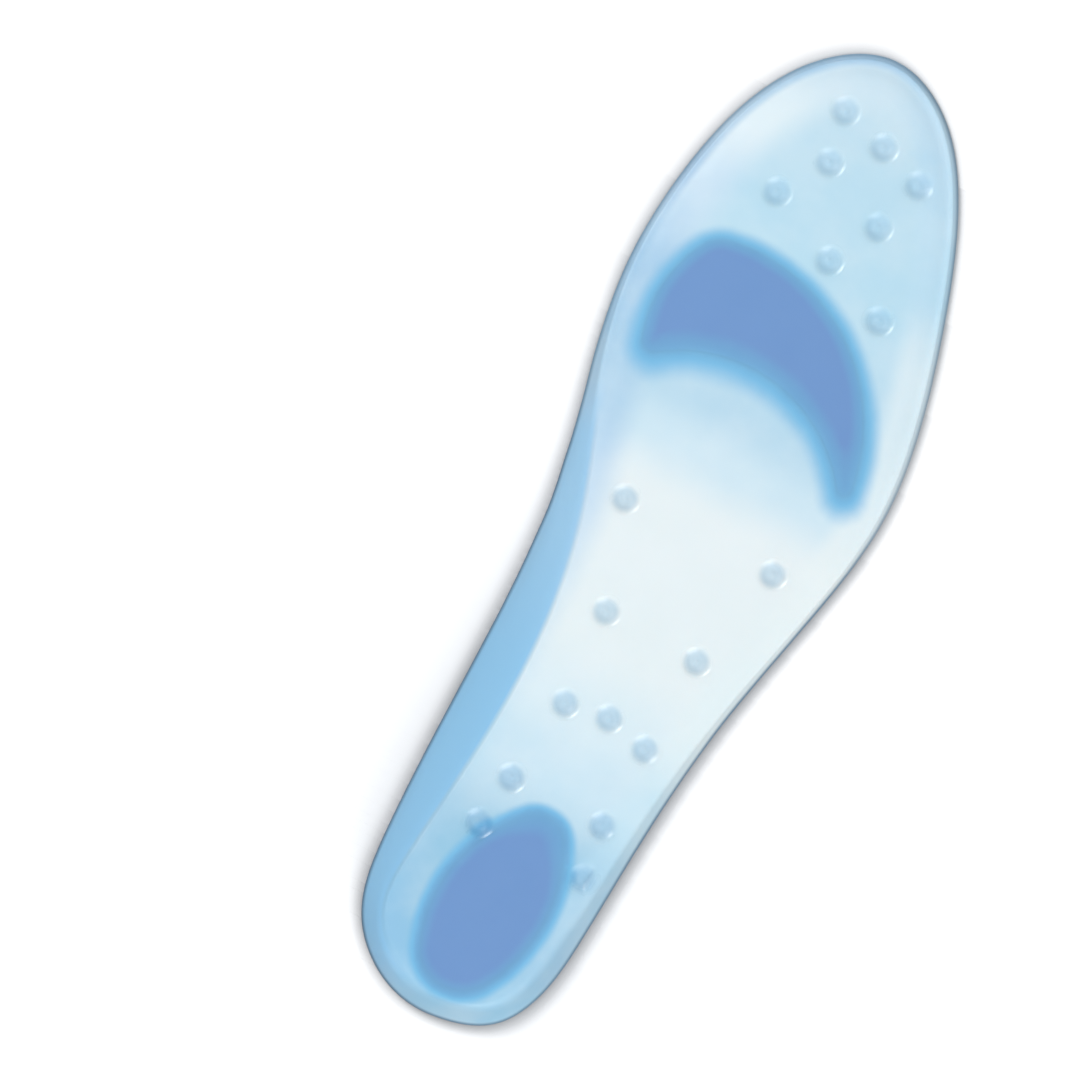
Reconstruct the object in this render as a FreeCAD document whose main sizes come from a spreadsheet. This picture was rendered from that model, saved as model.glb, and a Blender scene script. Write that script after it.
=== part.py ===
import FreeCAD, Part
import math
import os

import Sketcher
from FreeCAD import Placement, Rotation, Vector

# A left-foot insole of moulded silicone gel under a cloth cover, in millimetres.
# X points to the big-toe side, Y to the toe and Z up to the foot. The sole face lies on Z = 0, and the
# origin is under the middle of the outline.

os.makedirs("parts", exist_ok=True)
doc = FreeCAD.newDocument("insole")

SIZES = {
    "insole_length": 236.0,
    "ball_width": 77.4,
    # gel under the foot, along the middle line
    "heel_gel": 5.6,
    "toe_gel": 2.8,
    "thinning_start": 55.0,  # distance from the heel at which the gel starts to get thinner
    # raised rim, above the gel of the middle line
    "heel_rise": 6.0,
    "heel_rise_length": 118.0,
    "arch_rise": 10.5,
    "arch_from_heel": 82.0,
    "arch_half_length": 78.0,
    "rim_slope_width": 15.0,
    "arch_slope_extra": 7.0,
    # how far the outer wall leans in from the rim down to the sole face
    "edge_lean": 1.8,
    "heel_lean": 2.6,
    "arch_lean": 8.2,
    # raised oval behind the ball of the foot
    "dome_height": 4.0,
    "dome_half_length": 25.0,
    "dome_half_width": 14.0,
    "dome_from_heel": 129.0,
    "dome_side": 4.0,
    "dome_turn": 10.0,  # degrees, its toe end turns to the little-toe side
    # cover
    "cloth": 0.8,
    "cloth_setback": 0.7,
    # dimples in the sole face
    "dimple_width": 5.0,
    "dimple_depth": 1.0,
    # soft cushions in the sole face: their sides widen upwards, so that the gel holds them
    "cushion_undercut": 3.0,
    "ball_cushion_thickness": 2.2,
    "heel_cushion_thickness": 3.8,
}

# The outline of the rim: distance from the heel as a share of the length, then the reach to the
# big-toe side and to the little-toe side as shares of the ball width.
STATIONS = [
    (0.025, 0.225, 0.208),
    (0.051, 0.292, 0.257),
    (0.127, 0.345, 0.301),
    (0.254, 0.354, 0.324),
    (0.381, 0.355, 0.372),
    (0.508, 0.386, 0.456),
    (0.610, 0.451, 0.500),
    (0.712, 0.500, 0.465),
    (0.814, 0.483, 0.379),
    (0.915, 0.394, 0.252),
    (0.975, 0.258, 0.107),
]
HEEL_BACK = -0.026
TOE_TIP = 0.094

# Heights at which the outer wall is drawn, as shares of the highest one.
WALL_HEIGHTS = (0.0, 0.03, 0.06, 0.1, 0.15, 0.22, 0.32, 0.45, 0.62, 0.8, 1.0)
WALL_TOP = 22.0
WALL_CURVE = 1.3  # how fast the wall turns upright
UPRIGHT_SHARE = 0.8  # the wall is upright over the rest of the rim's height

# The grid of heights that the foot side passes through.
GRID_STEP = 4.0
GRID_MARGIN = 5.0

# Dimples of the sole face: distance to the big-toe side and distance from the heel.
DIMPLES = [
    (11.7, 220.9),
    (0.3, 217.6),
    (-10.5, 213.8),
    (9.4, 209.1),
    (-6.9, 201.4),
    (16.7, 197.9),
    (-0.7, 189.8),
    (-16.8, 183.1),
    (14.4, 121.9),
    (-22.4, 122.3),
    (6.4, 97.8),
    (-16.6, 97.3),
    (4.9, 75.5),
    (-5.3, 77.1),
    (-15.6, 74.7),
    (7.7, 55.3),
    (-15.2, 55.3),
    (9.4, 43.1),
    (-17.0, 43.0),
]

# The cushions' widest outlines, going round counterclockwise: each corner's distance to the big-toe
# side, distance from the heel and radius, then the radius of the side that follows it, negative
# where that side is hollow.
BALL_CUSHION = [
    (19.6, 176.6, 9.6, 45.6),
    (-27.5, 146.6, 4.6, -32.5),
    (25.3, 156.0, 5.6, 33.0),
]
HEEL_CUSHION = [
    (-3.9, 44.8, 9.2, 39.4),
    (-0.6, 16.8, 12.4, 36.8),
]
CORNER_SIZES = ("side", "from_heel", "radius", "sweep")


def named_sizes():
    """Every driving size with its name in the sheet."""
    sizes = dict(SIZES)
    for name, corners in (("ball_cushion", BALL_CUSHION), ("heel_cushion", HEEL_CUSHION)):
        for i, corner in enumerate(corners):
            for what, value in zip(CORNER_SIZES, corner):
                sizes[f"{name}_{what}_{i}"] = value
    return sizes


def make_sheet(sizes):
    """The driving sizes, each in a cell with a name."""
    sheet = doc.addObject("Spreadsheet::Sheet", "Sizes")
    for row, (name, value) in enumerate(sizes.items(), start=1):
        sheet.set(f"A{row}", name)
        sheet.set(f"B{row}", str(value))
        sheet.setAlias(f"B{row}", name)
    doc.recompute()
    return sheet


sheet = make_sheet(named_sizes())
size = {name: float(getattr(sheet, name)) for name in named_sizes()}


def from_heel(distance):
    """The Y of a distance measured from the heel's back edge."""
    return distance - size["insole_length"] / 2


def bump(t):
    """1 at t = 0, falling smoothly to 0 at t = 1 and beyond."""
    return (1 - t * t) ** 2 if abs(t) < 1 else 0.0


def arch_share(y):
    """How much of the arch's rise there is at this Y, from 0 to 1."""
    return bump((y - from_heel(size["arch_from_heel"])) / size["arch_half_length"])


def heel_share(y):
    """How much of the heel cup's rise there is at this Y, from 0 to 1."""
    return bump(max(y - from_heel(0), 0) / size["heel_rise_length"])


def gel_at(y):
    """Thickness of the gel on the middle line."""
    start = from_heel(size["thinning_start"])
    t = min(max((y - start) / (size["insole_length"] / 2 - start), 0), 1)
    return size["heel_gel"] + (size["toe_gel"] - size["heel_gel"]) * t * t * (3 - 2 * t)


def rim_rise(y, big_toe_side):
    """How far the rim stands above the gel of the middle line."""
    arch = size["arch_rise"] * arch_share(y) if big_toe_side else 0.0
    return size["heel_rise"] * heel_share(y) + arch


def rim_lean(y, big_toe_side):
    """How far the sole face's edge lies inside the rim."""
    arch = size["arch_lean"] * arch_share(y) if big_toe_side else 0.0
    return size["edge_lean"] + size["heel_lean"] * heel_share(y) + arch


def rim_points():
    """Points of the rim outline with the side that each is on, counterclockwise from the heel."""
    length, width = size["insole_length"], size["ball_width"]
    big_toe = [(Vector(b * width, from_heel(s * length), 0), True) for s, b, _ in STATIONS]
    little_toe = [(Vector(-c * width, from_heel(s * length), 0), False) for s, _, c in STATIONS]
    heel = (Vector(HEEL_BACK * width, from_heel(0), 0), False)
    toe = (Vector(TOE_TIP * width, from_heel(length), 0), True)
    return [heel] + big_toe + [toe] + little_toe[::-1]


RIM = rim_points()


def closed_curve(points):
    curve = Part.BSplineCurve()
    curve.interpolate(Points=points, PeriodicFlag=True)
    return curve


RIM_CURVE = closed_curve([point for point, _ in RIM])


def outline_at(height, setback):
    """The outer wall's outline at one height, moved in by setback."""
    points = []
    for point, big_toe_side in RIM:
        rim_height = gel_at(point.y) + rim_rise(point.y, big_toe_side)
        share = max(1 - height / (rim_height * UPRIGHT_SHARE), 0)
        inset = setback + rim_lean(point.y, big_toe_side) * share**WALL_CURVE
        along = RIM_CURVE.tangent(RIM_CURVE.parameter(point))[0]
        inward = Vector(-along.y, along.x, 0)
        points.append(point + inward * inset + Vector(0, 0, height))
    return Part.Wire(closed_curve(points).toShape())


def walled_block(setback):
    """A solid inside the outer wall, taller than the insole."""
    outlines = [outline_at(share * WALL_TOP, setback) for share in WALL_HEIGHTS]
    return Part.makeLoft(outlines, True, True)


def dome_at(x, y):
    """Height of the raised oval behind the ball of the foot."""
    turn = math.radians(size["dome_turn"])
    dx, dy = x - size["dome_side"], y - from_heel(size["dome_from_heel"])
    along = (dy * math.cos(turn) - dx * math.sin(turn)) / size["dome_half_length"]
    across = (dx * math.cos(turn) + dy * math.sin(turn)) / size["dome_half_width"]
    return size["dome_height"] * bump(math.hypot(along, across))


def middle_x(y):
    """The middle line runs from the heel's back to the toe's tip."""
    t = (y - from_heel(0)) / size["insole_length"]
    return size["ball_width"] * (HEEL_BACK + (TOE_TIP - HEEL_BACK) * t)


def foot_height(x, y):
    """Height of the gel's foot side, which rises towards the rim as a parabola."""
    point = Vector(x, y, 0)
    u = RIM_CURVE.parameter(point)
    near = RIM_CURVE.value(u)
    along = RIM_CURVE.tangent(u)[0]
    inside = Vector(-along.y, along.x, 0).dot(point - near)
    big_toe_side = near.x > middle_x(near.y)
    arch = arch_share(near.y) if big_toe_side else 0.0
    t = min(inside / (size["rim_slope_width"] + size["arch_slope_extra"] * arch), 1)
    rise = (1 - t) ** 2 if t > 0 else 1 - 2 * t
    return gel_at(y) + rim_rise(near.y, big_toe_side) * rise + dome_at(x, y)


def spread(half, step):
    """Even steps from -half to half."""
    count = math.ceil(2 * half / step)
    return [-half + 2 * half * i / count for i in range(count + 1)]


def foot_side_face():
    """One smooth face over the whole outline, through heights on an even grid."""
    xs = spread(size["ball_width"] / 2 + GRID_MARGIN, GRID_STEP)
    ys = spread(size["insole_length"] / 2 + GRID_MARGIN, GRID_STEP)
    surface = Part.BSplineSurface()
    surface.interpolate([[Vector(x, y, foot_height(x, y)) for y in ys] for x in xs])
    return surface.toShape()


def plain_feature(name, shape):
    """A solid whose form comes from a free surface."""
    feature = doc.addObject("Part::Feature", name)
    feature.Shape = shape
    feature.Placement = Placement()
    return feature


def tangent_centre(first, second, sweep):
    """Centre of the side arc that touches two corner circles."""
    (x1, y1, r1), (x2, y2, r2) = first, second
    a, b = abs(sweep - r1), abs(sweep - r2)
    dx, dy = x2 - x1, y2 - y1
    gap = math.hypot(dx, dy)
    along = (a * a - b * b + gap * gap) / (2 * gap)
    across = math.copysign(math.sqrt(a * a - along * along), sweep)
    return (x1 + (along * dx - across * dy) / gap, y1 + (along * dy + across * dx) / gap)


def contact_angle(corner, centre, sweep):
    """Direction from a corner's middle to the point where its circle meets a side arc."""
    angle = math.atan2(centre[1] - corner[1], centre[0] - corner[0])
    return angle + math.pi if sweep > 0 else angle


def add_arc(sketch, centre, radius, start, end):
    circle = Part.Circle(Vector(centre[0], centre[1], 0), Vector(0, 0, 1), radius)
    return sketch.addGeometry(Part.ArcOfCircle(circle, start, end), False)


def draw_outline(sketch, corners, sweeps):
    """Draws the corner arcs and side arcs. Returns the index of each corner's and each side's arc."""
    count = len(corners)
    centres = [tangent_centre(corners[i], corners[(i + 1) % count], sweeps[i]) for i in range(count)]
    leave = [contact_angle(corners[i], centres[i], sweeps[i]) for i in range(count)]
    arrive = [contact_angle(corners[(i + 1) % count], centres[i], sweeps[i]) for i in range(count)]
    drawn = []
    for i, (x, y, radius) in enumerate(corners):
        corner = add_arc(sketch, (x, y), radius, arrive[i - 1], leave[i])
        if sweeps[i] > 0:
            side = add_arc(sketch, centres[i], sweeps[i], leave[i], arrive[i])
        else:
            side = add_arc(sketch, centres[i], -sweeps[i], arrive[i] + math.pi, leave[i] + math.pi)
        drawn.append((corner, side))
    return drawn


def bind(sketch, name, kind, where, value, expression):
    """Adds a constraint with a name and drives it from the sheet."""
    sketch.addConstraint(Sketcher.Constraint(kind, *where, value))
    sketch.renameConstraint(sketch.ConstraintCount - 1, name)
    sketch.setExpression(f"Constraints.{name}", expression)


def outline_sketch(body, name, corners, grow, grow_name):
    """A closed outline of tangent arcs on the body's XY plane, grown by one of the sheet's sizes."""
    sketch = body.newObject("Sketcher::SketchObject", f"{name}_outline")
    plane = [f for f in body.Origin.OriginFeatures if f.Role == "XY_Plane"][0]
    sketch.AttachmentSupport = [(plane, "")]
    sketch.MapMode = "FlatFace"
    circles = [(x, from_heel(y), radius + grow) for x, y, radius, _ in corners]
    sweeps = [sweep + grow for *_, sweep in corners]
    drawn = draw_outline(sketch, circles, sweeps)
    start, end, middle = 1, 2, 3
    for i, (corner, side) in enumerate(drawn):
        near, far = (start, end) if sweeps[i] > 0 else (end, start)
        following = drawn[(i + 1) % len(drawn)][0]
        sketch.addConstraint(Sketcher.Constraint("Tangent", corner, end, side, near))
        sketch.addConstraint(Sketcher.Constraint("Tangent", side, far, following, start))
    for i, (corner, side) in enumerate(drawn):
        x, y, radius = circles[i]
        to_middle = (-1, 1, corner, middle)
        sign = "" if sweeps[i] > 0 else "-"
        bind(sketch, f"side_{i}", "DistanceX", to_middle, x, f"Sizes.{name}_side_{i}")
        half = "Sizes.insole_length / 2"
        bind(sketch, f"from_heel_{i}", "DistanceY", to_middle, y, f"Sizes.{name}_from_heel_{i} - {half}")
        bind(sketch, f"radius_{i}", "Radius", (corner,), radius, f"Sizes.{name}_radius_{i}{grow_name}")
        sweep = f"{sign}(Sizes.{name}_sweep_{i}{grow_name})"
        bind(sketch, f"sweep_{i}", "Radius", (side,), abs(sweeps[i]), sweep)
    doc.recompute()
    return sketch


def make_cushion(name, corners):
    """A soft cushion flush with the sole face and wider at its top."""
    body = doc.addObject("PartDesign::Body", name)
    body.Label = name
    undercut = size["cushion_undercut"]
    sole = outline_sketch(body, name, corners, -undercut, " - Sizes.cushion_undercut")
    top = outline_sketch(body, name, corners, 0, "")
    top.setExpression(".AttachmentOffset.Base.z", f"Sizes.{name}_thickness")
    doc.recompute()
    loft = body.newObject("PartDesign::AdditiveLoft", f"{name}_loft")
    loft.Profile = sole
    loft.Sections = [top]
    loft.Ruled = True
    body.Tip = loft
    doc.recompute()
    return body


def make_dimples():
    """The caps of balls that stand a little above the sole face."""
    ball = "(Sizes.dimple_width ^ 2 / 4 + Sizes.dimple_depth ^ 2) / (2 * Sizes.dimple_depth)"
    dimples = []
    for i, (x, y) in enumerate(DIMPLES):
        dimple = doc.addObject("Part::Sphere", f"dimple_{i}")
        dimple.setExpression("Radius", ball)
        dimple.Placement = Placement(Vector(x, from_heel(y), 0), Rotation())
        dimple.setExpression("Placement.Base.z", f"Sizes.dimple_depth - {ball}")
        dimples.append(dimple)
    return dimples


def make_gel_body(foot_side, cushions):
    """The gel: everything under its foot side, less the dimples and the room for the cushions."""
    above = foot_side.extrude(Vector(0, 0, 2 * WALL_TOP))
    blank = plain_feature("gel_blank", walled_block(0).cut(above).Solids[0])
    hollows = doc.addObject("Part::MultiFuse", "hollows")
    hollows.Shapes = make_dimples() + cushions
    gel = doc.addObject("Part::Cut", "gel_body")
    gel.Label = "gel_body"
    gel.Base = blank
    gel.Tool = hollows
    doc.recompute()
    return gel


def make_top_cover(foot_side):
    """The cloth on the gel's foot side, its edge a little inside the rim."""
    layer = foot_side.extrude(Vector(0, 0, size["cloth"]))
    solid = walled_block(size["cloth_setback"]).common(layer).Solids[0]
    cover = plain_feature("top_cover", solid)
    cover.Label = "top_cover"
    return cover


def check(subparts):
    """Stops if any object failed or any sub-part isn't one sound solid."""
    for item in doc.Objects:
        if "Invalid" in item.State or "Error" in item.State:
            raise RuntimeError(f"{item.Name} failed: {item.State}")
    for part in subparts:
        shape = part.Shape
        if shape.isNull() or not shape.isValid() or len(shape.Solids) != 1:
            raise RuntimeError(f"{part.Label} isn't one sound solid")
        box = shape.optimalBoundingBox()
        low = [round(v, 2) for v in (box.XMin, box.YMin, box.ZMin)]
        high = [round(v, 2) for v in (box.XMax, box.YMax, box.ZMax)]
        print(part.Label, low, high, f"{shape.Volume / 1000:.2f} cm3")


def write(subparts):
    for part in subparts:
        part.Shape.exportStep(f"parts/{part.Label}.step")


foot_side = foot_side_face()
cushions = [
    make_cushion("ball_cushion", BALL_CUSHION),
    make_cushion("heel_cushion", HEEL_CUSHION),
]
subparts = [make_gel_body(foot_side, cushions), make_top_cover(foot_side)] + cushions
doc.recompute()
check(subparts)
write(subparts)
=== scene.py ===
import math

import bmesh
import bpy
import numpy as np
from mathutils import Matrix, Vector
from mathutils.bvhtree import BVHTree
from mathutils.geometry import delaunay_2d_cdt


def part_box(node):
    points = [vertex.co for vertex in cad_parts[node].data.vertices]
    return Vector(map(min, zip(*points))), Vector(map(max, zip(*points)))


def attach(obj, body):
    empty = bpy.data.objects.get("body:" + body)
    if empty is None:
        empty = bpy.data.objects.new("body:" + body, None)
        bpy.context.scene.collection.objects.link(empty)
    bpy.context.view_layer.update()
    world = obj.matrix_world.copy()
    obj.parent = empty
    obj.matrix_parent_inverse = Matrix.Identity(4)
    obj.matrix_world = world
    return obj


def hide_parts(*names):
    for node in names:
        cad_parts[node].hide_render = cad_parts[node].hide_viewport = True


# A cushioned insole: pale silicone gel with two softer cushions in its sole face, under a thin
# microfibre cover. X points to the big-toe side, Y to the toe and Z up to the foot, in metres.

MM = 0.001
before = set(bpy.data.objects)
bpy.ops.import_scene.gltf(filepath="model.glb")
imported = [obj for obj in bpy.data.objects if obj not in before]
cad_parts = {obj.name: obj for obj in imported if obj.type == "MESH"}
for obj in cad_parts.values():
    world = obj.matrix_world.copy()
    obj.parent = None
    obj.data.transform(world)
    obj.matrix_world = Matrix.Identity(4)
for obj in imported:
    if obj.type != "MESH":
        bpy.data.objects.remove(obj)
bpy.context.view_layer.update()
GEL_LOW, GEL_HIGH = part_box("gel_body")
CUSHIONS = ("ball_cushion", "heel_cushion")

# Rays out of the middle of the insole, on which its outline is measured, then how far outside and
# above it other rays start, and the heights and insets at which they meet it.
SIDE_RAYS = 190
END_RAYS = 90
HEEL_MIDDLE = (0.0, 26 * MM)
TOE_MIDDLE = (5 * MM, 30 * MM)
OUTSIDE = 80 * MM
ABOVE = 50 * MM
HEIGHT_STEP = 0.5 * MM
JUST_OFF_SOLE = 0.01 * MM
JUST_IN_RIM = 0.4 * MM

# The bevel between the sole face and the wall, as insets and heights. It is much smaller where the
# wall leans out as a flange on the arch side.
BEVEL = [(6.0 * MM, 0.0), (3.2 * MM, 0.16 * MM), (0.9 * MM, 0.75 * MM)]
FLANGE_BEVEL = 0.4
FLANGE_LEAN = (2.6 * MM, 5.2 * MM)
FLANGE_SIDE = (0.15, 0.7)
FLANGE_FOOT = (0.1 * MM, 1.0 * MM)

# The wall and the rim over it, as insets and shares of the rim's height, then the ledge under the
# cover as insets. The rim's painted shade, a darker blue for the shade along the outline and the
# deep gel seen edge-on, starts and is full at negative insets or at shares.
WALL_SHARES = (0.14, 0.3, 0.45, 0.6, 0.8)
RIM_ROUNDING = [(0.0, 0.93), (0.15 * MM, 1.0)]
LEDGES = (1.0 * MM, 2.5 * MM)
RIM_SHADE_BAND = (-0.95 * MM, -0.1 * MM)
RIM_SHADE_SHARES = (0.8, 0.95)

# The edge of the cover, from under it to over it, as insets and shares of its thickness
COVER_THICKNESS = 0.8 * MM
COVER_EDGE = [
    (2.0 * MM, 0.0),
    (0.3 * MM, 0.0),
    (0.0, 0.25),
    (0.0, 0.75),
    (0.3 * MM, 1.0),
    (1.2 * MM, 1.0),
    (2.4 * MM, 1.0),
]

# Spacing of the points, and how clear of lines other points stay as a share of the spacing
FINE = 1.2 * MM
COARSE = 3.0 * MM
LOOP_STEP = 0.8 * MM
CLEAR_SHARE = 0.6
CORE_CLEAR = 0.45 * LOOP_STEP

# Dimples, in radii: the rounded lip, the floor, the low nub in its middle, where the darker tint
# (the cushion showing through, and painted shade in the hollow) starts and is full, and the smooth
# band round the lip.
DIMPLE_LIP = 1.6
DIMPLE_FLOOR = 0.45
DIMPLE_NUB = 0.38
NUB_SHARE = 0.16
DIMPLE_TINT = (-1.4, -0.75)
SMOOTH_IN = (0.7, 1.1)
SMOOTH_OUT = (-1.9, -1.5)
DIMPLE_RINGS = (0.14, 0.28, 0.42, 0.55, 0.68, 0.8, 0.92, 1.04, 1.18, 1.32, 1.46, 1.62)
DIMPLE_POINTS = 28

# Heights under which a point of the gel can be in a dimple's tint and painted shade, and in a
# dimple
DIMPLE_TINT_TOP = 2 * MM
SOLE_TOP = 0.5 * MM

# Each cushion's colour: how far outside its outline the fade's zero lies, how wide the fade is past
# that as a share of the widest, the direction of the end where it starts deeper inside, and the
# direction of the side where it is narrow. The end's own change starts and is full at distances
# from the cushion's tip, and takes this share of the depth.
FADES = {
    "ball_cushion": (0.3 * MM, 0.9, (-0.6, -0.8), (0.12, 0.32)),
    "heel_cushion": (1.3 * MM, 0.45, (-0.2, 0.98), (0.0, 0.0)),
}
FADING_END = (14 * MM, 2 * MM)
FADING_LOSS = 0.5


# --- measuring the CAD ---


def surface_of(node):
    """The CAD node's surface, for casting rays at it."""
    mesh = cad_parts[node].data
    points = [vert.co for vert in mesh.vertices]
    faces = [face.vertices[:] for face in mesh.polygons]
    return BVHTree.FromPolygons(points, faces)


def flat_loops(node, z):
    """Loops of points (x, y) round a CAD node's flat faces at height z, the longest first."""
    same = 0.002 * MM
    bm = bmesh.new()
    bm.from_mesh(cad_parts[node].data)
    bmesh.ops.remove_doubles(bm, verts=bm.verts, dist=same)
    flat = [face for face in bm.faces if all(abs(v.co.z - z) < same for v in face.verts)]
    known = set(flat)  # only for looking up: a set's own order would differ from run to run
    following = {}
    for face in flat:
        for corner in face.loops:
            if not any(other in known for other in corner.edge.link_faces if other is not face):
                following[corner.vert] = corner.link_loop_next.vert
    loops = []
    while following:
        vert = next(iter(following))
        loop = []
        while vert in following:
            loop.append(vert.co[:2])
            vert = following.pop(vert)
        loops.append(counterclockwise(np.array(loop)))
    bm.free()
    return sorted(loops, key=length_of, reverse=True)


def length_of(loop):
    return np.linalg.norm(np.roll(loop, -1, axis=0) - loop, axis=1).sum()


def area_of(loop):
    """Area inside a closed loop, negative where the loop goes round clockwise."""
    ahead = np.roll(loop, -1, axis=0)
    return (loop[:, 0] * ahead[:, 1] - loop[:, 1] * ahead[:, 0]).sum() / 2


def counterclockwise(loop):
    return loop if area_of(loop) > 0 else loop[::-1]


def evenly(loop, step):
    """The same closed loop with evenly spaced points."""
    closed = np.vstack([loop, loop[:1]])
    lengths = np.concatenate([[0], np.cumsum(np.linalg.norm(np.diff(closed, axis=0), axis=1))])
    count = round(lengths[-1] / step)
    at = np.arange(count) * lengths[-1] / count
    return np.column_stack([np.interp(at, lengths, closed[:, i]) for i in (0, 1)])


def outwards(loop):
    """Unit vectors out of a counterclockwise loop at each of its points."""
    along = np.roll(loop, -1, axis=0) - np.roll(loop, 1, axis=0)
    along /= np.linalg.norm(along, axis=1, keepdims=True)
    return np.column_stack([along[:, 1], -along[:, 0]])


def distance_in(points, loop):
    """Distance of each point from a closed loop, negative inside it."""
    start, end = loop, np.roll(loop, -1, axis=0)
    side = end - start
    found = []
    for some in np.array_split(points, len(points) // 2000 + 1):
        to = some[:, None] - start
        share = ((to * side).sum(-1) / (side * side).sum(-1)).clip(0, 1)
        nearest = np.linalg.norm(to - share[..., None] * side, axis=-1).min(axis=1)
        y = some[:, 1:2]
        spans = (start[:, 1] > y) != (end[:, 1] > y)
        height = np.where(side[:, 1] == 0, 1, side[:, 1])
        left = some[:, 0:1] < start[:, 0] + side[:, 0] * (y - start[:, 1]) / height
        inside = (spans & left).sum(axis=1) % 2 == 1
        found.append(np.where(inside, -nearest, nearest))
    return np.concatenate(found)


def ray_ring():
    """Starts and directions of the rays, counterclockwise from the heel's big-toe side."""
    heel = np.array([HEEL_MIDDLE[0], GEL_LOW.y + HEEL_MIDDLE[1]])
    toe = np.array([TOE_MIDDLE[0], GEL_HIGH.y - TOE_MIDDLE[1]])
    along = (toe - heel) / np.linalg.norm(toe - heel)
    across = np.array([along[1], -along[0]])
    starts, directions = [], []
    for first, last, side in ((heel, toe, across), (toe, heel, -across)):
        for i in range(SIDE_RAYS):
            starts.append(first + (last - first) * i / SIDE_RAYS)
            directions.append(side)
        ahead = (last - first) / np.linalg.norm(last - first)
        for i in range(END_RAYS):
            angle = math.pi * i / END_RAYS
            starts.append(last)
            directions.append(side * math.cos(angle) + ahead * math.sin(angle))
    return np.array(starts), np.array(directions)


def reach(surface, height):
    """How far out each ray meets a surface at its height, coming from outside."""
    found = []
    for start, way, z in zip(STARTS, WAYS, height):
        far = start + way * OUTSIDE
        hit = surface.ray_cast(Vector((*far, z)), Vector((*-way, 0)))[0]
        found.append(-OUTSIDE if hit is None else (np.array(hit[:2]) - start) @ way)
    return np.array(found)


def height_at(surface, points):
    """Heights of a surface's upper side."""
    down = Vector((0, 0, -1))
    hits = [surface.ray_cast(Vector((*p, ABOVE)), down)[0] for p in points]
    return np.array([hit.z for hit in hits])


def smooth_ring(values, times=4):
    """Evens out values round a closed ring."""
    for _ in range(times):
        values = (np.roll(values, 1, axis=-1) + 2 * values + np.roll(values, -1, axis=-1)) / 4
    return values


def between(value, low, high):
    """A smooth step from 0 at low to 1 at high."""
    t = np.clip((value - low) / (high - low), 0, 1)
    return t * t * (3 - 2 * t)


# --- making meshes ---


def spots_in(loop, step, clear):
    """Points inside a loop on a grid of equal triangles, at least clear away from it."""
    low, high = loop.min(axis=0), loop.max(axis=0)
    spots = []
    for i, y in enumerate(np.arange(low[1], high[1], step * math.sqrt(0.75))):
        spots += [(x + i % 2 * step / 2, y) for x in np.arange(low[0], high[0], step)]
    spots = np.array(spots)
    return spots[distance_in(spots, loop) < -clear]


def triangulate(loops, spots):
    """The points of closed loops and loose spots, and the triangles between them."""
    points = np.vstack([*loops, spots])
    edges = []
    first = 0
    for loop in loops:
        edges += [(first + i, first + (i + 1) % len(loop)) for i in range(len(loop))]
        first += len(loop)
    inside_only = 1
    made = delaunay_2d_cdt([Vector(p / MM) for p in points], edges, [], inside_only, 0.0001)
    origin = [numbers[0] for numbers in made[3]]
    return points, np.array([[origin[i] for i in face] for face in made[2]])


class Skin:
    """The points and faces of one piece, with its named values at the points."""

    def __init__(self):
        self.points = []
        self.faces = []
        self.values = {}
        self.creases = []

    def add(self, xy, z, **values):
        """Adds points and returns their numbers."""
        first = len(self.points)
        heights = np.broadcast_to(z, len(xy))
        self.points += [(x, y, h) for (x, y), h in zip(xy, heights)]
        for name, value in values.items():
            numbers = range(first, len(self.points))
            self.values.setdefault(name, {}).update(zip(numbers, np.broadcast_to(value, len(xy))))
        return np.arange(first, len(self.points))

    def band(self, ring, following):
        """Faces between two closed rings."""
        ahead, behind = np.roll(ring, -1), np.roll(following, -1)
        self.faces += np.column_stack([ring, ahead, behind, following]).tolist()

    def patch(self, numbers, triangles):
        """Faces between numbered points."""
        self.faces += numbers[triangles].tolist()

    def lid(self, ring, step, height):
        """Closes a ring with a sheet of points at the heights that height() gives."""
        loop = np.array([self.points[i][:2] for i in ring])
        spots = spots_in(loop, step, step * CLEAR_SHARE)
        _, triangles = triangulate([loop], spots)
        self.patch(np.concatenate([ring, self.add(spots, height(spots))]), triangles)

    def piece(self, name, material, slot, *nodes):
        """Makes the Blender object, smooth except at its sharp edges."""
        mesh = bpy.data.meshes.new(name)
        mesh.from_pydata(self.points, [], self.faces)
        for label, known in self.values.items():
            found = [known.get(i, 0.0) for i in range(len(self.points))]
            mesh.attributes.new(label, "FLOAT", "POINT").data.foreach_set("value", found)
        bm = bmesh.new()
        bm.from_mesh(mesh)
        bmesh.ops.recalc_face_normals(bm, faces=bm.faces)
        for face in bm.faces:
            face.smooth = True
        for crease in self.creases:
            for edge in bm.edges:
                if crease.issuperset(vert.index for vert in edge.verts):
                    edge.smooth = False
        bm.to_mesh(mesh)
        bm.free()
        mesh.materials.append(material)
        obj = bpy.data.objects.new(name, mesh)
        bpy.context.scene.collection.objects.link(obj)
        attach(obj, "root")
        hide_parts(*nodes)
        return obj


def rounded(profile, times=2):
    """Cuts the corners of a row of rings, keeping its first and last one."""
    for _ in range(times):
        near = 0.75 * profile[:-1] + 0.25 * profile[1:]
        far = 0.25 * profile[:-1] + 0.75 * profile[1:]
        middle = np.stack([near, far], axis=1).reshape(-1, *profile.shape[1:])
        profile = np.concatenate([profile[:1], middle, profile[-1:]])
    return profile


STARTS, WAYS = ray_ring()
gel = surface_of("gel_body")
cover = surface_of("top_cover")


def at_reach(distance):
    """Points (x, y) at a distance along each ray."""
    return STARTS + WAYS * np.asarray(distance)[:, None]


def rings_of(profile):
    """Rings of (x, y), z from rows of (reach, height)."""
    return [(at_reach(row[0]), row[1]) for row in profile]


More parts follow.
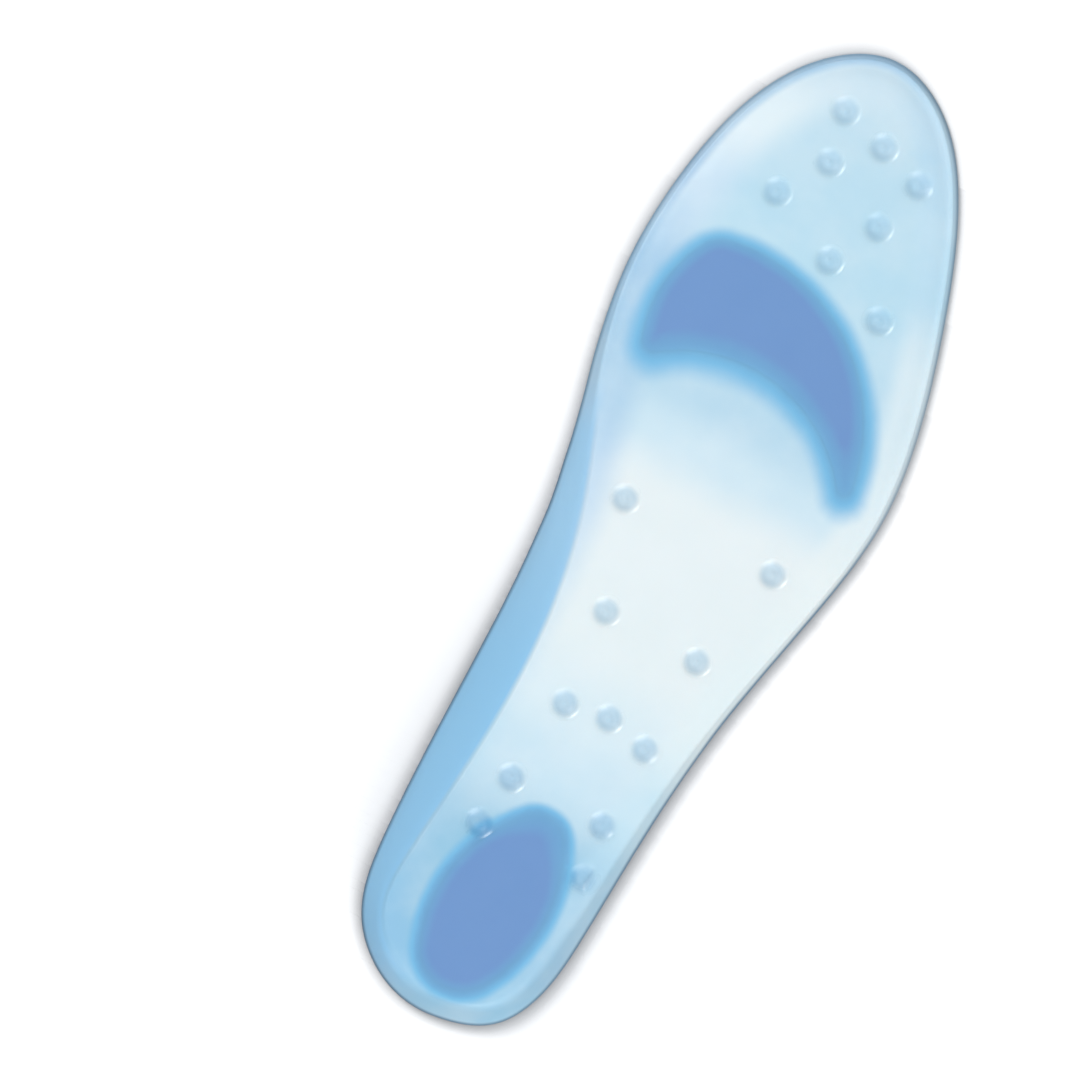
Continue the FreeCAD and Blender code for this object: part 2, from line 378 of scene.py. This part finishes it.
heights = np.arange(HEIGHT_STEP, GEL_HIGH.z, HEIGHT_STEP)
RIM_REACH = smooth_ring(np.max([reach(gel, np.full(len(STARTS), z)) for z in heights], axis=0))
RIM_TOP = smooth_ring(height_at(gel, at_reach(RIM_REACH - JUST_IN_RIM)))
SOLE_REACH = smooth_ring(reach(gel, np.full(len(STARTS), JUST_OFF_SOLE)))
LEAN = RIM_REACH - SOLE_REACH
FLANGE = between(LEAN, *FLANGE_LEAN) * between(WAYS[:, 0], *FLANGE_SIDE)


def wall_profile():
    """Rows of (reach, height) of every ray, from the sole face round the rim to under the cover."""
    size = 1 + (FLANGE_BEVEL - 1) * FLANGE
    edge = at_reach(SOLE_REACH)
    room = np.min([distance_in(edge, core) for core in CORES.values()], axis=0) - 1.2 * FINE
    size = smooth_ring(np.minimum(size, room / BEVEL[0][0]), times=12)
    rows = [(SOLE_REACH - inset * size, z * size**2) for inset, z in BEVEL]
    for share in WALL_SHARES:
        rows.append((smooth_ring(reach(gel, RIM_TOP * share)), RIM_TOP * share))
    for inset, share in RIM_ROUNDING:
        rows.append((RIM_REACH - inset, RIM_TOP * share))
    for inset in LEDGES:
        ledge = RIM_REACH - inset
        rows.append((ledge, smooth_ring(height_at(gel, at_reach(ledge)))))
    return rounded(np.array(rows))


def find_dimples():
    """Middle and radius of every dimple, and their depth. Their loops in the sole face are shorter
    than its outline and the two pockets for the cushions."""
    loops = flat_loops("gel_body", 0)[1 + len(CUSHIONS):]
    dimples = [(loop.mean(axis=0), length_of(loop) / (2 * math.pi)) for loop in loops]
    middle = dimples[0][0]
    hit = gel.ray_cast(Vector((*middle, -ABOVE)), Vector((0, 0, 1)))[0]
    return dimples, hit.z


DIMPLES, DIMPLE_DEPTH = find_dimples()
CORES = {name: evenly(flat_loops(name, 0)[0], LOOP_STEP) for name in CUSHIONS}


def wide_outline(name):
    """The outline of a cushion's top: its outline in the sole face, grown evenly all round."""
    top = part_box(name)[1]
    core = CORES[name]
    return core + outwards(core) * (top.x - core[:, 0].max())


def dimple_share(points):
    """How much of a dimple's depth there is at each point, from 0 to 1."""
    share = np.zeros(len(points))
    for middle, radius in DIMPLES:
        t = np.linalg.norm(points - middle, axis=1) / radius
        wall = between(-t, -DIMPLE_LIP, -DIMPLE_FLOOR)
        nub = NUB_SHARE * np.clip(1 - (t / DIMPLE_NUB) ** 2, 0, 1) ** 2
        share = np.maximum(share, wall - nub)
    return share


def dimple_spots():
    """Rings of points in and round every dimple."""
    turns = np.arange(DIMPLE_POINTS) * 2 * math.pi / DIMPLE_POINTS
    circle = np.column_stack([np.cos(turns), np.sin(turns)])
    spots = []
    for middle, radius in DIMPLES:
        spots.append(middle[None])
        spots += [middle + circle * radius * share for share in DIMPLE_RINGS]
    return np.vstack(spots)


def sole_spots(loop):
    """Points inside the sole face, clear of the cushions' outlines and denser in the dimples."""
    clear_of_dimple = DIMPLE_RINGS[-1] + 0.15
    spots = spots_in(loop, FINE, CLEAR_SHARE * FINE)
    for core in CORES.values():
        spots = spots[np.abs(distance_in(spots, core)) > CORE_CLEAR]
    for middle, radius in DIMPLES:
        spots = spots[np.linalg.norm(spots - middle, axis=1) > radius * clear_of_dimple]
    rings = dimple_spots()
    return np.vstack([spots, rings[distance_in(rings, loop) < -0.3 * FINE]])


def split_sole(points, triangles):
    """The sole face's triangles by the piece that they belong to."""
    middles = points[triangles].mean(axis=1)
    left = np.ones(len(triangles), bool)
    parts = {}
    for name, core in CORES.items():
        inside = distance_in(middles, core) < 0
        parts[name] = triangles[inside]
        left &= ~inside
    parts["gel_body"] = triangles[left]
    return parts


PROFILE = wall_profile()
SOLE_LOOP = at_reach(PROFILE[0][0])
SOLE_POINTS, triangles = triangulate([SOLE_LOOP, *CORES.values()], sole_spots(SOLE_LOOP))
SOLE_PARTS = split_sole(SOLE_POINTS, triangles)


def used_points(skin, triangles):
    """Adds the sole points that some triangles use. Returns their numbers by number in the sole."""
    used = np.unique(triangles)
    numbers = np.full(len(SOLE_POINTS), -1)
    points = SOLE_POINTS[used]
    numbers[used] = skin.add(points, dimple_share(points) * DIMPLE_DEPTH)
    skin.patch(numbers, triangles)
    return numbers


def core_numbers(name):
    """Numbers of a cushion's outline in the sole face."""
    first = len(SOLE_LOOP)
    for other, core in CORES.items():
        if other == name:
            return np.arange(first, first + len(core))
        first += len(core)


def close_cushion(skin, name, ring):
    """The cushion's slanting side and flat top, above its outline in the sole face."""
    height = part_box(name)[1].z
    wide = skin.add(wide_outline(name), height)
    skin.creases += [set(ring.tolist()), set(wide.tolist())]
    skin.band(ring, wide)
    skin.lid(wide, COARSE, lambda spots: height)


def from_cushions(points):
    """Distance from the nearest cushion in the sole face, in mm of the widest fade and negative
    inside it. It is less deep at a cushion's fading end."""
    found = []
    for name, core in CORES.items():
        start, width, end, narrow_side = FADES[name]
        away = distance_in(points, core)
        ahead = distance_in(points + np.array(narrow_side) * MM, core)
        away = (away - start) / MM * (1 + (ahead - away) / MM)
        last = (core @ end).max()
        fading = between(points @ end, last - FADING_END[0], last - FADING_END[1])
        found.append(np.where(away < 0, away * (1 - FADING_LOSS * fading), away / width))
    found = np.array(found)
    return np.take_along_axis(found, np.abs(found).argmin(axis=0)[None], axis=0)[0]


def from_dimples(points):
    """Distance from the middle of the nearest dimple, in radii."""
    away = [np.linalg.norm(points - middle, axis=1) / radius for middle, radius in DIMPLES]
    return np.min(away, axis=0)


def mark(skin):
    """Gives a piece's points the values that its material's colours depend on."""
    points = np.array(skin.points)
    flat = points[:, :2]
    away = from_dimples(flat)
    values = {
        "from_cushion": from_cushions(flat),
        "inset": -distance_in(flat, at_reach(RIM_REACH)) / MM,
        "dimple": between(-away, *DIMPLE_TINT) * (points[:, 2] < DIMPLE_TINT_TOP),
        "lip": between(away, *SMOOTH_IN) * between(-away, *SMOOTH_OUT),
    }
    for name, found in values.items():
        skin.values[name] = dict(enumerate(found))


def make_gel(material):
    skin = Skin()
    numbers = used_points(skin, SOLE_PARTS["gel_body"])
    for name in CORES:
        close_cushion(skin, name, numbers[core_numbers(name)])
    ring = numbers[np.arange(len(SOLE_LOOP))]
    for xy, z in rings_of(PROFILE)[1:]:
        inset = RIM_REACH - ((xy - STARTS) * WAYS).sum(axis=1)
        # Painted shade: a darker blue on the rim band and the top of the wall
        rim = np.maximum(between(-inset, *RIM_SHADE_BAND), between(z / RIM_TOP, *RIM_SHADE_SHARES))
        flange = FLANGE * between(z, *FLANGE_FOOT)
        dip = dimple_share(xy) * DIMPLE_DEPTH * (z < SOLE_TOP)
        following = skin.add(xy, z + dip, flange=flange, rim=rim)
        skin.band(ring, following)
        ring = following
    skin.lid(ring, COARSE, lambda spots: height_at(gel, spots))
    mark(skin)
    return skin.piece("clear_gel", material, "clear_gel", "gel_body")


def make_cushion(name, piece_name, material):
    skin = Skin()
    numbers = used_points(skin, SOLE_PARTS[name])
    close_cushion(skin, name, numbers[core_numbers(name)])
    mark(skin)
    cushion = skin.piece(piece_name, material, "soft_gel", name)
    return cushion


def make_cover(material):
    """The cloth: a thin closed sheet with a soft edge."""
    skin = Skin()
    setback = GEL_HIGH.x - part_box("top_cover")[1].x
    edge = RIM_REACH - setback
    rows = []
    for inset, lift in COVER_EDGE:
        at = edge - inset
        under = smooth_ring(height_at(gel, at_reach(np.minimum(at, RIM_REACH - JUST_IN_RIM))))
        rows.append((at, under + lift * COVER_THICKNESS))
    rings = rings_of(rounded(np.array(rows), times=1))
    numbers = [skin.add(xy, z) for xy, z in rings]
    for ring, following in zip(numbers, numbers[1:]):
        skin.band(ring, following)
    skin.lid(numbers[0], COARSE, lambda spots: height_at(cover, spots) - COVER_THICKNESS)
    skin.lid(numbers[-1], FINE, lambda spots: height_at(cover, spots))
    return skin.piece("cloth_cover", material, "cover_cloth", "top_cover")


# --- materials ---


def srgb(red, green, blue):
    """A colour from its 0 to 255 screen values."""
    def linear(c):
        c /= 255
        return c / 12.92 if c <= 0.04045 else ((c + 0.055) / 1.055) ** 2.4
    return (linear(red), linear(green), linear(blue), 1)


class Look:
    """A material with short ways to add nodes."""

    def __init__(self, name):
        self.material = bpy.data.materials.new(name)
        self.material.use_nodes = True
        self.tree = self.material.node_tree
        self.shader = self.tree.nodes["Principled BSDF"]
        self.place = self.add("ShaderNodeTexCoord").outputs["Object"]

    def add(self, kind, inputs=None, **settings):
        node = self.tree.nodes.new(kind)
        for name, value in settings.items():
            setattr(node, name, value)
        for socket, value in (inputs or {}).items():
            self.set(node, socket, value)
        return node

    def set(self, node, socket, value):
        if isinstance(value, bpy.types.NodeSocket):
            self.tree.links.new(value, node.inputs[socket])
        else:
            node.inputs[socket].default_value = value

    def shade(self, **inputs):
        for socket, value in inputs.items():
            self.set(self.shader, socket.replace("_", " "), value)

    def value(self, name):
        """A value given at the mesh's points."""
        return self.add("ShaderNodeAttribute", attribute_name=name).outputs["Fac"]

    def axis(self, name):
        return self.add("ShaderNodeSeparateXYZ", {"Vector": self.place}).outputs[name]

    def math(self, operation, first, second=0.0):
        return self.add("ShaderNodeMath", {0: first, 1: second}, operation=operation).outputs[0]

    def span(self, value, low, high, start=0.0, end=1.0, smooth=True):
        """The value's place between low and high, as a smooth step from start to end."""
        kind = "SMOOTHSTEP" if smooth else "LINEAR"
        inputs = {"Value": value, "From Min": low, "From Max": high, "To Min": start, "To Max": end}
        return self.add("ShaderNodeMapRange", inputs, interpolation_type=kind).outputs["Result"]

    def mix(self, share, first, second, blend="MIX"):
        inputs = {"Factor": share, "A": first, "B": second}
        node = self.tree.nodes.new("ShaderNodeMix")
        node.data_type = "RGBA"
        node.blend_type = blend
        sockets = {s.name: s for s in node.inputs if s.enabled}
        for name, value in inputs.items():
            if isinstance(value, bpy.types.NodeSocket):
                self.tree.links.new(value, sockets[name])
            else:
                sockets[name].default_value = value
        return next(s for s in node.outputs if s.enabled)

    def noise(self, size, detail=2.0, rough=0.5, stretch=(1, 1, 1)):
        """Noise whose features are about size metres wide."""
        place = self.add("ShaderNodeMapping", {"Vector": self.place, "Scale": stretch})
        inputs = {
            "Vector": place.outputs["Vector"],
            "Scale": 1 / size,
            "Detail": detail,
            "Roughness": rough,
        }
        return self.add("ShaderNodeTexNoise", inputs).outputs["Fac"]

    def ramp(self, value, stops):
        """Colours at places from 0 to 1."""
        node = self.add("ShaderNodeValToRGB", {"Fac": value})
        node.color_ramp.interpolation = "EASE"
        marks = node.color_ramp.elements
        for i, (at, colour) in enumerate(stops):
            mark = marks[i] if i < 2 else marks.new(at)
            mark.position, mark.color = at, colour
        return node.outputs["Color"]

    def bump(self, height, strength, depth, below=None):
        inputs = {"Height": height, "Strength": strength, "Distance": depth}
        if below is not None:
            inputs["Normal"] = below
        return self.add("ShaderNodeBump", inputs).outputs["Normal"]


CORE_BLUE = srgb(109, 150, 203)
EDGE_BLUE = srgb(108, 164, 208)
HALO_BLUE = srgb(118, 187, 226)
FLANGE_BLUE = srgb(154, 212, 250)
FLANGE_FRONT = srgb(168, 216, 248)
# Painted shade for the rim and the outline
RIM_SHADE_BLUE = srgb(102, 133, 158)
# Painted shade along the big-toe edge near the toe
TOE_EDGE_PAINTED_SHADE = srgb(205, 224, 240)
# Painted shade in the dimples' hollows
DIMPLE_PAINTED_SHADE = srgb(218, 231, 241)
CLOUD = srgb(236, 244, 247)

# The clear gel's tint by distance from the heel in mm, on the middle line and along both edges.
# The edge tints hold painted light too: paler at the heel end, where the wall faces away from the
# lamps, and a painted highlight along the big-toe edge near the toe.
MIDDLE_TINTS = [
    (0, (145, 196, 223)),
    (40, (151, 199, 224)),
    (61, (200, 227, 240)),
    (76, (217, 235, 242)),
    (92, (228, 239, 241)),
    (126, (229, 239, 241)),
    (139, (205, 229, 240)),
    (150, (184, 217, 234)),
    (190, (185, 221, 237)),
    (236, (193, 223, 237)),
]
BIG_TOE_TINTS_AND_LIGHT = [
    (0, (166, 213, 240)),
    (12, (145, 196, 227)),
    (40, (148, 198, 225)),
    (60, (188, 222, 238)),
    (90, (200, 224, 238)),
    (125, (190, 217, 237)),
    (145, (168, 206, 230)),
    (170, (168, 205, 231)),
    (190, (198, 224, 241)),
    (212, (224, 239, 245)),
    (236, (198, 225, 239)),
]
LITTLE_TOE_TINTS_AND_LIGHT = [
    (0, (172, 216, 240)),
    (10, (149, 200, 227)),
    (20, (159, 202, 227)),
    (40, (169, 210, 232)),
    (61, (196, 226, 239)),
    (84, (224, 238, 241)),
    (126, (230, 240, 241)),
    (150, (219, 236, 242)),
    (175, (213, 233, 241)),
    (195, (187, 222, 239)),
    (236, (183, 218, 238)),
]

# How far in from the edge, in mm, each edge's tint, with its painted light and shade, starts to
# fade and has faded
BIG_TOE_FADE = (6.5, 15.5)
LITTLE_TOE_FADE = (6.0, 11.0)
TOE_EDGE_FADE = (1.4, 3.4)

# Where along the insole these tints and painted shades start and are full, or start to fade and
# have faded
TOE_EDGE_START = (58 * MM, 78 * MM)
FLANGE_FRONT_START = (-48 * MM, 4 * MM)
HEEL_DIMPLES = (-74 * MM, -64 * MM)
TOE_DIMPLES = (15 * MM, 60 * MM)
RIM_SHADE_FADE = (0.0, 40 * MM)


def gel_surface(look):
    """Satin moulded gel: light passes a little way in, and the surface has a fine texture. It is
    smoothest round the dimples' lips, which catch the light in the photograph."""
    smear = look.noise(9 * MM, 3.0)
    grain = look.noise(0.45 * MM, 2.0)
    rough = look.math("ADD", look.span(smear, 0.35, 0.65, 0.44, 0.56), look.value("rim"))
    look.shade(
        Roughness=look.math("SUBTRACT", rough, look.math("MULTIPLY", look.value("lip"), 0.21)),
        Normal=look.bump(grain, 0.25, 0.02 * MM, look.bump(smear, 0.3, 0.12 * MM)),
        Subsurface_Weight=0.18,
        Subsurface_Radius=(0.7, 0.9, 1.0),
        Subsurface_Scale=1.5 * MM,
    )


def tints(look, along, stops):
    """A tint along the insole from stops in mm from the heel."""
    length = (GEL_HIGH.y - GEL_LOW.y) / MM
    return look.ramp(along, [(min(at / length, 1), srgb(*tint)) for at, tint in stops])


def clear_colours(look):
    """The clear gel's tint, which differs along its middle and its two edges. Along the edges it
    holds painted light and shade.
    """
    along = look.span(look.axis("Y"), GEL_LOW.y, GEL_HIGH.y, smooth=False)
    inset = look.value("inset")
    big_toe = look.span(look.axis("X"), -8 * MM, 8 * MM)
    colour = tints(look, along, MIDDLE_TINTS)
    edges = (
        (LITTLE_TOE_TINTS_AND_LIGHT, LITTLE_TOE_FADE, look.math("SUBTRACT", 1.0, big_toe)),
        (BIG_TOE_TINTS_AND_LIGHT, BIG_TOE_FADE, big_toe),
    )
    for stops, fade, side in edges:
        share = look.math("MULTIPLY", side, look.span(inset, *fade, 1.0, 0.0))
        colour = look.mix(share, colour, tints(look, along, stops))
    # Painted shade: a darker band along the big-toe edge near the toe
    toe = look.math("MULTIPLY", big_toe, look.span(look.axis("Y"), *TOE_EDGE_START))
    toe_edge_shade = look.math("MULTIPLY", toe, look.span(inset, *TOE_EDGE_FADE, 1.0, 0.0))
    colour = look.mix(toe_edge_shade, colour, TOE_EDGE_PAINTED_SHADE, "MULTIPLY")
    cloudy = look.span(look.noise(16 * MM, 3.0), 0.35, 0.65, 0.0, 0.16)
    return look.mix(cloudy, colour, CLOUD)


def gel_material():
    look = Look("clear_gel")
    dimple = look.value("dimple")
    colour = cushion_colours(look, clear_colours(look), dimple)
    front = look.span(look.axis("Y"), *FLANGE_FRONT_START)
    colour = look.mix(look.value("flange"), colour, look.mix(front, FLANGE_BLUE, FLANGE_FRONT))
    # Painted shade in the dimples' hollows, weaker towards the toe and near the heel
    toe = look.span(look.axis("Y"), *TOE_DIMPLES, 1.0, 0.6)
    heel = look.span(look.axis("Y"), *HEEL_DIMPLES, 0.75, 1.0)
    shade = look.math("MULTIPLY", look.math("MULTIPLY", dimple, toe), heel)
    colour = look.mix(shade, colour, DIMPLE_PAINTED_SHADE, "MULTIPLY")
    # Painted shade on the rim: a darker blue along the outline, weaker towards the toe
    rim = look.span(look.axis("Y"), *RIM_SHADE_FADE, 1.0, 0.62)
    colour = look.mix(look.math("MULTIPLY", look.value("rim"), rim), colour, RIM_SHADE_BLUE)
    look.shade(Base_Color=colour)
    gel_surface(look)
    return look.material


def cushion_colours(look, clear, dimple=0.0):
    """Deep blue in a cushion, fading out through paler blues where it runs under the clear gel. It
    shows through more in a dimple, where the clear gel over it is thin."""
    wander = look.span(look.noise(9 * MM), 0.3, 0.7, -0.2, 0.2, smooth=False)
    away = look.math("ADD", look.value("from_cushion"), wander)
    nearer = look.math("SUBTRACT", away, look.math("MULTIPLY", dimple, 1.3))
    away = look.math("MAXIMUM", nearer, look.math("MINIMUM", away, 0.8))
    colour = look.mix(look.span(away, 0.8, 5.5, 1.0, 0.0), clear, HALO_BLUE)
    colour = look.mix(look.span(away, -1.5, 1.8, 1.0, 0.0), colour, EDGE_BLUE)
    return look.mix(look.span(away, -3.8, -0.8, 1.0, 0.0), colour, CORE_BLUE)


def cushion_material():
    look = Look("soft_gel")
    look.shade(Base_Color=cushion_colours(look, HALO_BLUE))
    gel_surface(look)
    return look.material


CLOTH = srgb(161, 162, 192)
CLOTH_DARK = srgb(134, 135, 166)
CLOTH_LIGHT = srgb(180, 181, 210)
CLOTH_COOL = srgb(146, 156, 186)
INK = srgb(44, 84, 146)


def ink_share(look):
    """A plain printed mark on the heel: two bars with a row of dots between them."""
    middle = (-2 * MM, GEL_LOW.y + 46 * MM)
    bar_half, bar_gap, bar_width = 15 * MM, 4.2 * MM, 0.55 * MM
    dot_step, dot_radius = 4.0 * MM, 1.1 * MM
    across = look.math("SUBTRACT", look.axis("X"), middle[0])
    along = look.math("SUBTRACT", look.axis("Y"), middle[1])
    ends = look.math("LESS_THAN", look.math("ABSOLUTE", along), bar_half)
    off_bar = look.math("ABSOLUTE", look.math("SUBTRACT", look.math("ABSOLUTE", across), bar_gap))
    bars = look.span(off_bar, bar_width * 0.8, bar_width * 1.2, 1.0, 0.0)
    off_dot = look.math("PINGPONG", along, dot_step / 2)
    squares = [look.math("POWER", offset, 2.0) for offset in (off_dot, across)]
    dot_gap = look.math("SQRT", look.math("ADD", *squares))
    dots = look.span(dot_gap, dot_radius * 0.85, dot_radius * 1.15, 1.0, 0.0)
    worn = look.span(look.noise(0.7 * MM, 3.0), 0.3, 0.5, 0.55, 0.95)
    ink = look.math("MULTIPLY", look.math("MAXIMUM", bars, dots), ends)
    return look.math("MULTIPLY", ink, worn)


def cloth_material():
    """Brushed microfibre: short nap in soft streaks, with fine fibres in it."""
    look = Look("cover_cloth")
    patches = look.noise(11 * MM, 2.0, 0.5)
    nap = look.noise(1.1 * MM, 4.0, 0.65, (1.0, 0.5, 1.0))
    fibre = look.noise(0.3 * MM, 3.0, 0.6)
    colour = look.mix(look.span(nap, 0.34, 0.68), CLOTH_DARK, CLOTH_LIGHT)
    colour = look.mix(0.55, colour, CLOTH)
    colour = look.mix(look.span(patches, 0.45, 0.75, 0.0, 0.25), colour, CLOTH_COOL)
    colour = look.mix(look.span(fibre, 0.35, 0.7, 0.0, 0.3), colour, CLOTH_DARK)
    colour = look.mix(ink_share(look), colour, INK)
    relief = look.bump(fibre, 0.6, 0.12 * MM, look.bump(nap, 0.5, 0.2 * MM))
    look.shade(
        Base_Color=colour,
        Roughness=look.span(nap, 0.3, 0.7, 0.85, 0.97),
        Normal=relief,
        Sheen_Weight=0.3,
        Sheen_Roughness=0.5,
        Sheen_Tint=srgb(200, 202, 230),
        Specular_IOR_Level=0.25,
    )
    return look.material


# --- stage, light and camera ---

# The insole is seen square to its sole face, with the toe up and to the right. The lens is long, so
# the rim and the sole face have nearly the same scale.
VIEW_RIGHT = Vector((-0.88295, 0.46947, 0))
VIEW_UP = Vector((0.46947, 0.88295, 0))
VIEW_MIDDLE = Vector((26.2 * MM, -13.3 * MM, 0))
VIEW_WIDTH = 240.7 * MM
LENS = 400
SENSOR = 36
FLOOR_GAP = 0.1 * MM

# Each light's direction from the insole, distance, size and power
LIGHTS = {
    "sole_key": ((0.66, 0.22, -1.0), 1.2, 0.4, 6.9),
    "sole_fill": ((-1.0, -0.9, -0.8), 1.4, 0.9, 11.0),
    "top_key": ((0.2, 0.8, 1.0), 1.2, 0.4, 8.6),
    "top_fill": ((-0.2, -0.25, 1.0), 1.4, 1.2, 3.2),
}


def stage_material(name, colour, glow, reach):
    """A plain surface that shows from its front only, with a painted contact shadow: darker within
    reach of the insole, by ambient occlusion.
    """
    look = Look(name)
    occlusion = look.add("ShaderNodeAmbientOcclusion", {"Distance": reach}, samples=8)
    # Painted contact shadow: colour and glow darken where the insole is near
    light = look.span(occlusion.outputs["AO"], 0.3, 0.95, 0.2, 1.0, smooth=False)
    colour = look.mix(light, srgb(0, 0, 0), colour)
    look.shade(Base_Color=colour, Roughness=0.9, Specular_IOR_Level=0.0)
    look.shade(Emission_Color=colour, Emission_Strength=glow)
    behind = look.add("ShaderNodeNewGeometry").outputs["Backfacing"]
    clear = look.add("ShaderNodeBsdfTransparent").outputs["BSDF"]
    mix = look.add("ShaderNodeMixShader", {0: behind, 1: look.shader.outputs["BSDF"], 2: clear})
    output = look.tree.nodes["Material Output"]
    look.tree.links.new(mix.outputs["Shader"], output.inputs["Surface"])
    return look.material


def stage_sheet(name, points, faces, material):
    mesh = bpy.data.meshes.new(name)
    mesh.from_pydata(points, [], faces)
    mesh.shade_smooth()
    mesh.materials.append(material)
    obj = bpy.data.objects.new(name, mesh)
    bpy.context.scene.collection.objects.link(obj)
    obj.visible_shadow = False
    obj.visible_diffuse = False
    obj.visible_glossy = False
    obj.visible_transmission = False


def make_floor():
    """A round floor under the insole, which curves up into a wall far away on every side."""
    radius, height, curve = 4.2, 2.0, 0.5
    turns = np.linspace(0, 2 * math.pi, 96, endpoint=False)
    circle = np.column_stack([np.cos(turns), np.sin(turns)])
    bends = np.linspace(0, math.pi / 2, 9)
    rings = [(radius - curve + curve * math.sin(a), curve - curve * math.cos(a)) for a in bends]
    skin = Skin()
    ring = skin.add(circle * rings[0][0], -FLOOR_GAP)
    skin.faces.append(ring.tolist())
    for out, up in [*rings[1:], (radius, height)]:
        following = skin.add(circle * out, up - FLOOR_GAP)
        skin.band(following, ring)
        ring = following
    material = stage_material("floor", srgb(178, 180, 182), 0.8, 6 * MM)
    stage_sheet("floor", skin.points, skin.faces, material)


def make_backdrop():
    """A pale ceiling close over the rim, which is behind the insole in the view from below. It is
    made of level strips, because a slope would show its front in a low view from above."""
    half = 0.4
    step = 1 * MM
    gap, level = 0.3 * MM, 0.4 * MM
    outline = at_reach(RIM_REACH)
    ys = [-half, *np.arange(GEL_LOW.y, GEL_HIGH.y, step), half]
    points, faces = [], []
    for start, end in zip(ys, ys[1:]):
        for far in (-half, half):
            side = outline[:, 0] * far > 0
            away = np.abs(outline[side, 1] - (start + end) / 2)
            top = RIM_TOP[side][away < away.min() + 2 * step].max()
            z = math.ceil((top + gap) / level) * level
            faces.append(tuple(range(len(points), len(points) + 4)))
            strip = [(0, start), (0, end), (far, end), (far, start)]
            points += [(x, y, z) for x, y in (strip if far > 0 else strip[::-1])]
    material = stage_material("backdrop", srgb(246, 246, 246), 0.22, 4 * MM)
    stage_sheet("backdrop", points, faces, material)


def add_light(name, direction, distance, size, power):
    """A soft square light that shines at the insole's middle from a direction."""
    data = bpy.data.lights.new(name, "AREA")
    data.size, data.energy = size, power
    light = bpy.data.objects.new(name, data)
    away = Vector(direction).normalized()
    light.location = away * distance
    light.rotation_mode = "QUATERNION"
    light.rotation_quaternion = away.to_track_quat("Z", "Y")
    light.visible_camera = False
    bpy.context.scene.collection.objects.link(light)


def make_lights():
    for name, (direction, distance, size, power) in LIGHTS.items():
        add_light(name, direction, distance, size, power)
    world = bpy.data.worlds.new("studio")
    world.use_nodes = True
    background = world.node_tree.nodes["Background"]
    background.inputs["Color"].default_value = srgb(246, 248, 252)
    background.inputs["Strength"].default_value = 0.43
    bpy.context.scene.world = world


def make_camera():
    """A camera whose right and up are the view's."""
    data = bpy.data.cameras.new("camera")
    data.lens, data.sensor_width = LENS, SENSOR
    camera = bpy.data.objects.new("camera", data)
    back = VIEW_RIGHT.cross(VIEW_UP)
    camera.location = VIEW_MIDDLE + back * VIEW_WIDTH * LENS / SENSOR
    camera.rotation_mode = "QUATERNION"
    camera.rotation_quaternion = Matrix((VIEW_RIGHT, VIEW_UP, back)).transposed().to_quaternion()
    bpy.context.scene.collection.objects.link(camera)
    bpy.context.scene.camera = camera


make_floor()
make_backdrop()
make_lights()
make_camera()

gel_piece = make_gel(gel_material())
soft = cushion_material()
make_cushion("ball_cushion", "ball_pad", soft)
make_cushion("heel_cushion", "heel_pad", soft)
cloth = make_cover(cloth_material())

scene = bpy.context.scene
scene.view_settings.view_transform = "Standard"
